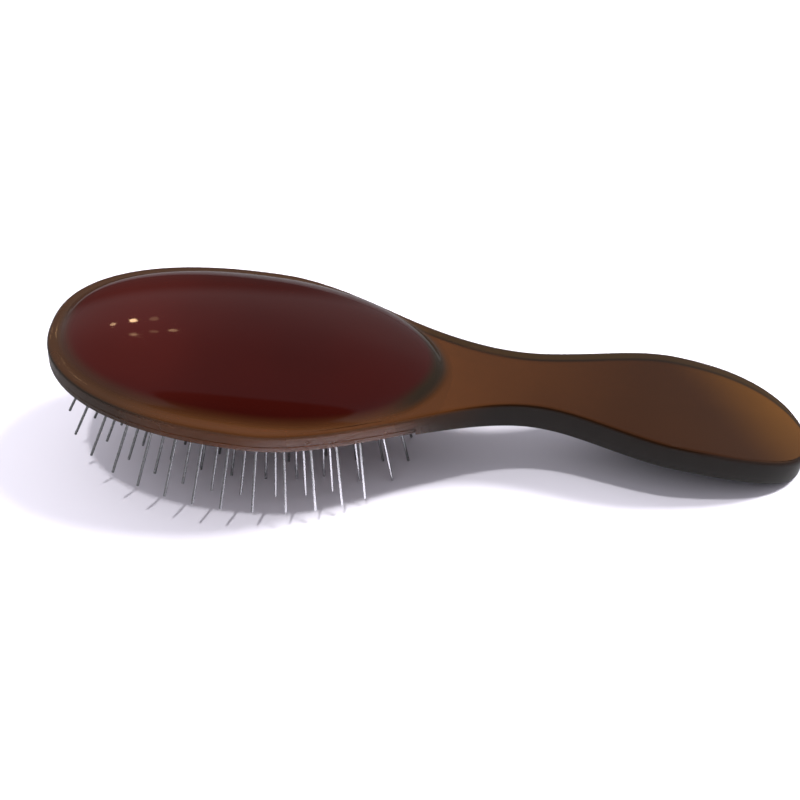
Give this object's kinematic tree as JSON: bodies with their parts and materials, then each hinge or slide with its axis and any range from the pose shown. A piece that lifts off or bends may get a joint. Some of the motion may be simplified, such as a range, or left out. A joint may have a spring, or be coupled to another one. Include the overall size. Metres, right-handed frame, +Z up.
{
  "type": "pet pin brush",
  "caption": "Oval pet grooming brush with a translucent brown body, domed back, flat handle and steel wire pins in a rubber cushion.",
  "frame": {"origin": "on the surface it rests on, under the middle of its bounding box", "axes": "+X along the brush from the head toward the end of the handle, +Z up, away from the surface; the domed back faces up"},
  "size_m": [0.2158, 0.0666, 0.0533],
  "materials": {
    "body": "glossy translucent tortoise brown",
    "frame": "glossy translucent tortoise brown",
    "rubber": "matt dark red",
    "cloth": "woven, dark maroon",
    "steel": "bright drawn wire"
  },
  "bodies": {
    "shell": {"brush_body": "body", "cushion_frame": "frame", "cushion_pad": "rubber"},
    "pin_carrier": {"cushion_cloth": "cloth"},
    "staple_1_01": {"pin_staple_1_01": "steel"},
    "staple_1_02": {"pin_staple_1_02": "steel"},
    "staple_1_03": {"pin_staple_1_03": "steel"},
    "staple_1_04": {"pin_staple_1_04": "steel"},
    "staple_1_05": {"pin_staple_1_05": "steel"},
    "staple_1_06": {"pin_staple_1_06": "steel"},
    "staple_1_07": {"pin_staple_1_07": "steel"},
    "staple_1_08": {"pin_staple_1_08": "steel"},
    "staple_1_09": {"pin_staple_1_09": "steel"},
    "staple_1_10": {"pin_staple_1_10": "steel"},
    "staple_1_11": {"pin_staple_1_11": "steel"},
    "staple_1_12": {"pin_staple_1_12": "steel"},
    "staple_1_13": {"pin_staple_1_13": "steel"},
    "staple_1_14": {"pin_staple_1_14": "steel"},
    "staple_1_15": {"pin_staple_1_15": "steel"},
    "staple_2_01": {"pin_staple_2_01": "steel"},
    "staple_2_02": {"pin_staple_2_02": "steel"},
    "staple_2_03": {"pin_staple_2_03": "steel"},
    "staple_2_04": {"pin_staple_2_04": "steel"},
    "staple_2_05": {"pin_staple_2_05": "steel"},
    "staple_2_06": {"pin_staple_2_06": "steel"},
    "staple_2_07": {"pin_staple_2_07": "steel"},
    "staple_2_08": {"pin_staple_2_08": "steel"},
    "staple_2_09": {"pin_staple_2_09": "steel"},
    "staple_2_10": {"pin_staple_2_10": "steel"},
    "staple_2_11": {"pin_staple_2_11": "steel"},
    "staple_2_12": {"pin_staple_2_12": "steel"},
    "staple_3_01": {"pin_staple_3_01": "steel"},
    "staple_3_02": {"pin_staple_3_02": "steel"},
    "staple_3_03": {"pin_staple_3_03": "steel"},
    "staple_3_04": {"pin_staple_3_04": "steel"},
    "staple_3_05": {"pin_staple_3_05": "steel"},
    "staple_3_06": {"pin_staple_3_06": "steel"},
    "staple_3_07": {"pin_staple_3_07": "steel"},
    "staple_3_08": {"pin_staple_3_08": "steel"},
    "staple_3_09": {"pin_staple_3_09": "steel"},
    "staple_4_01": {"pin_staple_4_01": "steel"},
    "staple_4_02": {"pin_staple_4_02": "steel"},
    "staple_4_03": {"pin_staple_4_03": "steel"},
    "staple_4_04": {"pin_staple_4_04": "steel"},
    "staple_4_05": {"pin_staple_4_05": "steel"},
    "staple_4_06": {"pin_staple_4_06": "steel"}
  },
  "joints": [
    {"name": "cushion_press", "type": "slide", "parent": "shell", "child": "pin_carrier", "axis": [0.1579, 0, 0.9875], "range_m": [0, 0.0025], "stiffness_N_per_m": 4000, "deforming": ["cushion_pad"]},
    {"name": "lean_1_01", "type": "hinge", "parent": "pin_carrier", "child": "staple_1_01", "pos_m": [-0.08922, -0.00901, 0.04235], "axis": [0.9875, 0, -0.1579], "range_deg": [-6, 6], "stiffness_Nm_per_rad": 0.05},
    {"name": "lean_1_02", "type": "hinge", "parent": "pin_carrier", "child": "staple_1_02", "pos_m": [-0.07871, -0.01667, 0.04048], "axis": [0.9875, 0, -0.1579], "range_deg": [-6, 6], "stiffness_Nm_per_rad": 0.05},
    {"name": "lean_1_03", "type": "hinge", "parent": "pin_carrier", "child": "staple_1_03", "pos_m": [-0.06615, -0.02112, 0.03855], "axis": [0.9875, 0, -0.1579], "range_deg": [-6, 6], "stiffness_Nm_per_rad": 0.05},
    {"name": "lean_1_04", "type": "hinge", "parent": "pin_carrier", "child": "staple_1_04", "pos_m": [-0.05239, -0.02254, 0.03643], "axis": [0.9875, 0, -0.1579], "range_deg": [-6, 6], "stiffness_Nm_per_rad": 0.05},
    {"name": "lean_1_05", "type": "hinge", "parent": "pin_carrier", "child": "staple_1_05", "pos_m": [-0.03902, -0.02145, 0.03434], "axis": [0.9875, 0, -0.1579], "range_deg": [-6, 6], "stiffness_Nm_per_rad": 0.05},
    {"name": "lean_1_06", "type": "hinge", "parent": "pin_carrier", "child": "staple_1_06", "pos_m": [-0.02569, -0.01736, 0.03241], "axis": [0.9875, 0, -0.1579], "range_deg": [-6, 6], "stiffness_Nm_per_rad": 0.05},
    {"name": "lean_1_07", "type": "hinge", "parent": "pin_carrier", "child": "staple_1_07", "pos_m": [-0.01458, -0.00973, 0.02997], "axis": [0.9875, 0, -0.1579], "range_deg": [-6, 6], "stiffness_Nm_per_rad": 0.05},
    {"name": "lean_1_08", "type": "hinge", "parent": "pin_carrier", "child": "staple_1_08", "pos_m": [-0.01114, 0.00279, 0.02928], "axis": [0.9875, 0, -0.1579], "range_deg": [-6, 6], "stiffness_Nm_per_rad": 0.05},
    {"name": "lean_1_09", "type": "hinge", "parent": "pin_carrier", "child": "staple_1_09", "pos_m": [-0.01884, 0.01343, 0.03107], "axis": [0.9875, 0, -0.1579], "range_deg": [-6, 6], "stiffness_Nm_per_rad": 0.05},
    {"name": "lean_1_10", "type": "hinge", "parent": "pin_carrier", "child": "staple_1_10", "pos_m": [-0.03175, 0.01929, 0.03359], "axis": [0.9875, 0, -0.1579], "range_deg": [-6, 6], "stiffness_Nm_per_rad": 0.05},
    {"name": "lean_1_11", "type": "hinge", "parent": "pin_carrier", "child": "staple_1_11", "pos_m": [-0.04491, 0.02184, 0.03542], "axis": [0.9875, 0, -0.1579], "range_deg": [-6, 6], "stiffness_Nm_per_rad": 0.05},
    {"name": "lean_1_12", "type": "hinge", "parent": "pin_carrier", "child": "staple_1_12", "pos_m": [-0.05855, 0.02183, 0.03765], "axis": [0.9875, 0, -0.1579], "range_deg": [-6, 6], "stiffness_Nm_per_rad": 0.05},
    {"name": "lean_1_13", "type": "hinge", "parent": "pin_carrier", "child": "staple_1_13", "pos_m": [-0.0719, 0.0193, 0.0396], "axis": [0.9875, 0, -0.1579], "range_deg": [-6, 6], "stiffness_Nm_per_rad": 0.05},
    {"name": "lean_1_14", "type": "hinge", "parent": "pin_carrier", "child": "staple_1_14", "pos_m": [-0.08403, 0.0137, 0.04143], "axis": [0.9875, 0, -0.1579], "range_deg": [-6, 6], "stiffness_Nm_per_rad": 0.05},
    {"name": "lean_1_15", "type": "hinge", "parent": "pin_carrier", "child": "staple_1_15", "pos_m": [-0.09232, 0.00355, 0.04321], "axis": [0.9875, 0, -0.1579], "range_deg": [-6, 6], "stiffness_Nm_per_rad": 0.05},
    {"name": "lean_2_01", "type": "hinge", "parent": "pin_carrier", "child": "staple_2_01", "pos_m": [-0.08229, -0.00835, 0.03984], "axis": [0.9875, 0, -0.1579], "range_deg": [-6, 6], "stiffness_Nm_per_rad": 0.05},
    {"name": "lean_2_02", "type": "hinge", "parent": "pin_carrier", "child": "staple_2_02", "pos_m": [-0.07002, -0.01414, 0.03736], "axis": [0.9875, 0, -0.1579], "range_deg": [-6, 6], "stiffness_Nm_per_rad": 0.05},
    {"name": "lean_2_03", "type": "hinge", "parent": "pin_carrier", "child": "staple_2_03", "pos_m": [-0.05629, -0.01678, 0.035], "axis": [0.9875, 0, -0.1579], "range_deg": [-6, 6], "stiffness_Nm_per_rad": 0.05},
    {"name": "lean_2_04", "type": "hinge", "parent": "pin_carrier", "child": "staple_2_04", "pos_m": [-0.0423, -0.01626, 0.03282], "axis": [0.9875, 0, -0.1579], "range_deg": [-6, 6], "stiffness_Nm_per_rad": 0.05},
    {"name": "lean_2_05", "type": "hinge", "parent": "pin_carrier", "child": "staple_2_05", "pos_m": [-0.02834, -0.01247, 0.03096], "axis": [0.9875, 0, -0.1579], "range_deg": [-6, 6], "stiffness_Nm_per_rad": 0.05},
    {"name": "lean_2_06", "type": "hinge", "parent": "pin_carrier", "child": "staple_2_06", "pos_m": [-0.0175, -0.00387, 0.0293], "axis": [0.9875, 0, -0.1579], "range_deg": [-6, 6], "stiffness_Nm_per_rad": 0.05},
    {"name": "lean_2_07", "type": "hinge", "parent": "pin_carrier", "child": "staple_2_07", "pos_m": [-0.02134, 0.00847, 0.02971], "axis": [0.9875, 0, -0.1579], "range_deg": [-6, 6], "stiffness_Nm_per_rad": 0.05},
    {"name": "lean_2_08", "type": "hinge", "parent": "pin_carrier", "child": "staple_2_08", "pos_m": [-0.03467, 0.01433, 0.03212], "axis": [0.9875, 0, -0.1579], "range_deg": [-6, 6], "stiffness_Nm_per_rad": 0.05},
    {"name": "lean_2_09", "type": "hinge", "parent": "pin_carrier", "child": "staple_2_09", "pos_m": [-0.0485, 0.01644, 0.034], "axis": [0.9875, 0, -0.1579], "range_deg": [-6, 6], "stiffness_Nm_per_rad": 0.05},
    {"name": "lean_2_10", "type": "hinge", "parent": "pin_carrier", "child": "staple_2_10", "pos_m": [-0.06265, 0.01574, 0.03631], "axis": [0.9875, 0, -0.1579], "range_deg": [-6, 6], "stiffness_Nm_per_rad": 0.05},
    {"name": "lean_2_11", "type": "hinge", "parent": "pin_carrier", "child": "staple_2_11", "pos_m": [-0.07604, 0.01208, 0.03865], "axis": [0.9875, 0, -0.1579], "range_deg": [-6, 6], "stiffness_Nm_per_rad": 0.05},
    {"name": "lean_2_12", "type": "hinge", "parent": "pin_carrier", "child": "staple_2_12", "pos_m": [-0.08653, 0.00358, 0.04105], "axis": [0.9875, 0, -0.1579], "range_deg": [-6, 6], "stiffness_Nm_per_rad": 0.05},
    {"name": "lean_3_01", "type": "hinge", "parent": "pin_carrier", "child": "staple_3_01", "pos_m": [-0.07448, -0.00703, 0.03725], "axis": [0.9875, 0, -0.1579], "range_deg": [-6, 6], "stiffness_Nm_per_rad": 0.05},
    {"name": "lean_3_02", "type": "hinge", "parent": "pin_carrier", "child": "staple_3_02", "pos_m": [-0.06032, -0.01039, 0.03429], "axis": [0.9875, 0, -0.1579], "range_deg": [-6, 6], "stiffness_Nm_per_rad": 0.05},
    {"name": "lean_3_03", "type": "hinge", "parent": "pin_carrier", "child": "staple_3_03", "pos_m": [-0.04556, -0.01097, 0.03185], "axis": [0.9875, 0, -0.1579], "range_deg": [-6, 6], "stiffness_Nm_per_rad": 0.05},
    {"name": "lean_3_04", "type": "hinge", "parent": "pin_carrier", "child": "staple_3_04", "pos_m": [-0.03058, -0.0076, 0.02992], "axis": [0.9875, 0, -0.1579], "range_deg": [-6, 6], "stiffness_Nm_per_rad": 0.05},
    {"name": "lean_3_05", "type": "hinge", "parent": "pin_carrier", "child": "staple_3_05", "pos_m": [-0.02392, 0.0029, 0.02915], "axis": [0.9875, 0, -0.1579], "range_deg": [-6, 6], "stiffness_Nm_per_rad": 0.05},
    {"name": "lean_3_06", "type": "hinge", "parent": "pin_carrier", "child": "staple_3_06", "pos_m": [-0.03741, 0.00937, 0.03114], "axis": [0.9875, 0, -0.1579], "range_deg": [-6, 6], "stiffness_Nm_per_rad": 0.05},
    {"name": "lean_3_07", "type": "hinge", "parent": "pin_carrier", "child": "staple_3_07", "pos_m": [-0.05226, 0.0109, 0.03317], "axis": [0.9875, 0, -0.1579], "range_deg": [-6, 6], "stiffness_Nm_per_rad": 0.05},
    {"name": "lean_3_08", "type": "hinge", "parent": "pin_carrier", "child": "staple_3_08", "pos_m": [-0.06709, 0.0094, 0.03582], "axis": [0.9875, 0, -0.1579], "range_deg": [-6, 6], "stiffness_Nm_per_rad": 0.05},
    {"name": "lean_3_09", "type": "hinge", "parent": "pin_carrier", "child": "staple_3_09", "pos_m": [-0.08034, 0.00357, 0.03895], "axis": [0.9875, 0, -0.1579], "range_deg": [-6, 6], "stiffness_Nm_per_rad": 0.05},
    {"name": "lean_4_01", "type": "hinge", "parent": "pin_carrier", "child": "staple_4_01", "pos_m": [-0.0655, -0.00426, 0.03463], "axis": [0.9875, 0, -0.1579], "range_deg": [-6, 6], "stiffness_Nm_per_rad": 0.05},
    {"name": "lean_4_02", "type": "hinge", "parent": "pin_carrier", "child": "staple_4_02", "pos_m": [-0.0489, -0.00554, 0.03145], "axis": [0.9875, 0, -0.1579], "range_deg": [-6, 6], "stiffness_Nm_per_rad": 0.05},
    {"name": "lean_4_03", "type": "hinge", "parent": "pin_carrier", "child": "staple_4_03", "pos_m": [-0.03202, -0.003, 0.0295], "axis": [0.9875, 0, -0.1579], "range_deg": [-6, 6], "stiffness_Nm_per_rad": 0.05},
    {"name": "lean_4_04", "type": "hinge", "parent": "pin_carrier", "child": "staple_4_04", "pos_m": [-0.03948, 0.00475, 0.03045], "axis": [0.9875, 0, -0.1579], "range_deg": [-6, 6], "stiffness_Nm_per_rad": 0.05},
    {"name": "lean_4_05", "type": "hinge", "parent": "pin_carrier", "child": "staple_4_05", "pos_m": [-0.05662, 0.00518, 0.03307], "axis": [0.9875, 0, -0.1579], "range_deg": [-6, 6], "stiffness_Nm_per_rad": 0.05},
    {"name": "lean_4_06", "type": "hinge", "parent": "pin_carrier", "child": "staple_4_06", "pos_m": [-0.07309, 0.00295, 0.0367], "axis": [0.9875, 0, -0.1579], "range_deg": [-6, 6], "stiffness_Nm_per_rad": 0.05}
  ],
  "couplings": [
    {"joint": "lean_1_01", "follows": "lean_1_04", "ratio": 1},
    {"joint": "lean_1_02", "follows": "lean_1_04", "ratio": 1},
    {"joint": "lean_1_03", "follows": "lean_1_04", "ratio": 1},
    {"joint": "lean_1_05", "follows": "lean_1_04", "ratio": 1},
    {"joint": "lean_1_06", "follows": "lean_1_04", "ratio": 1},
    {"joint": "lean_1_07", "follows": "lean_1_04", "ratio": 1},
    {"joint": "lean_1_08", "follows": "lean_1_04", "ratio": 1},
    {"joint": "lean_1_09", "follows": "lean_1_04", "ratio": 1},
    {"joint": "lean_1_10", "follows": "lean_1_04", "ratio": 1},
    {"joint": "lean_1_11", "follows": "lean_1_04", "ratio": 1},
    {"joint": "lean_1_12", "follows": "lean_1_04", "ratio": 1},
    {"joint": "lean_1_13", "follows": "lean_1_04", "ratio": 1},
    {"joint": "lean_1_14", "follows": "lean_1_04", "ratio": 1},
    {"joint": "lean_1_15", "follows": "lean_1_04", "ratio": 1},
    {"joint": "lean_2_01", "follows": "lean_1_04", "ratio": 1},
    {"joint": "lean_2_02", "follows": "lean_1_04", "ratio": 1},
    {"joint": "lean_2_03", "follows": "lean_1_04", "ratio": 1},
    {"joint": "lean_2_04", "follows": "lean_1_04", "ratio": 1},
    {"joint": "lean_2_05", "follows": "lean_1_04", "ratio": 1},
    {"joint": "lean_2_06", "follows": "lean_1_04", "ratio": 1},
    {"joint": "lean_2_07", "follows": "lean_1_04", "ratio": 1},
    {"joint": "lean_2_08", "follows": "lean_1_04", "ratio": 1},
    {"joint": "lean_2_09", "follows": "lean_1_04", "ratio": 1},
    {"joint": "lean_2_10", "follows": "lean_1_04", "ratio": 1},
    {"joint": "lean_2_11", "follows": "lean_1_04", "ratio": 1},
    {"joint": "lean_2_12", "follows": "lean_1_04", "ratio": 1},
    {"joint": "lean_3_01", "follows": "lean_1_04", "ratio": 1},
    {"joint": "lean_3_02", "follows": "lean_1_04", "ratio": 1},
    {"joint": "lean_3_03", "follows": "lean_1_04", "ratio": 1},
    {"joint": "lean_3_04", "follows": "lean_1_04", "ratio": 1},
    {"joint": "lean_3_05", "follows": "lean_1_04", "ratio": 1},
    {"joint": "lean_3_06", "follows": "lean_1_04", "ratio": 1},
    {"joint": "lean_3_07", "follows": "lean_1_04", "ratio": 1},
    {"joint": "lean_3_08", "follows": "lean_1_04", "ratio": 1},
    {"joint": "lean_3_09", "follows": "lean_1_04", "ratio": 1},
    {"joint": "lean_4_01", "follows": "lean_1_04", "ratio": 1},
    {"joint": "lean_4_02", "follows": "lean_1_04", "ratio": 1},
    {"joint": "lean_4_03", "follows": "lean_1_04", "ratio": 1},
    {"joint": "lean_4_04", "follows": "lean_1_04", "ratio": 1},
    {"joint": "lean_4_05", "follows": "lean_1_04", "ratio": 1},
    {"joint": "lean_4_06", "follows": "lean_1_04", "ratio": 1}
  ]
}
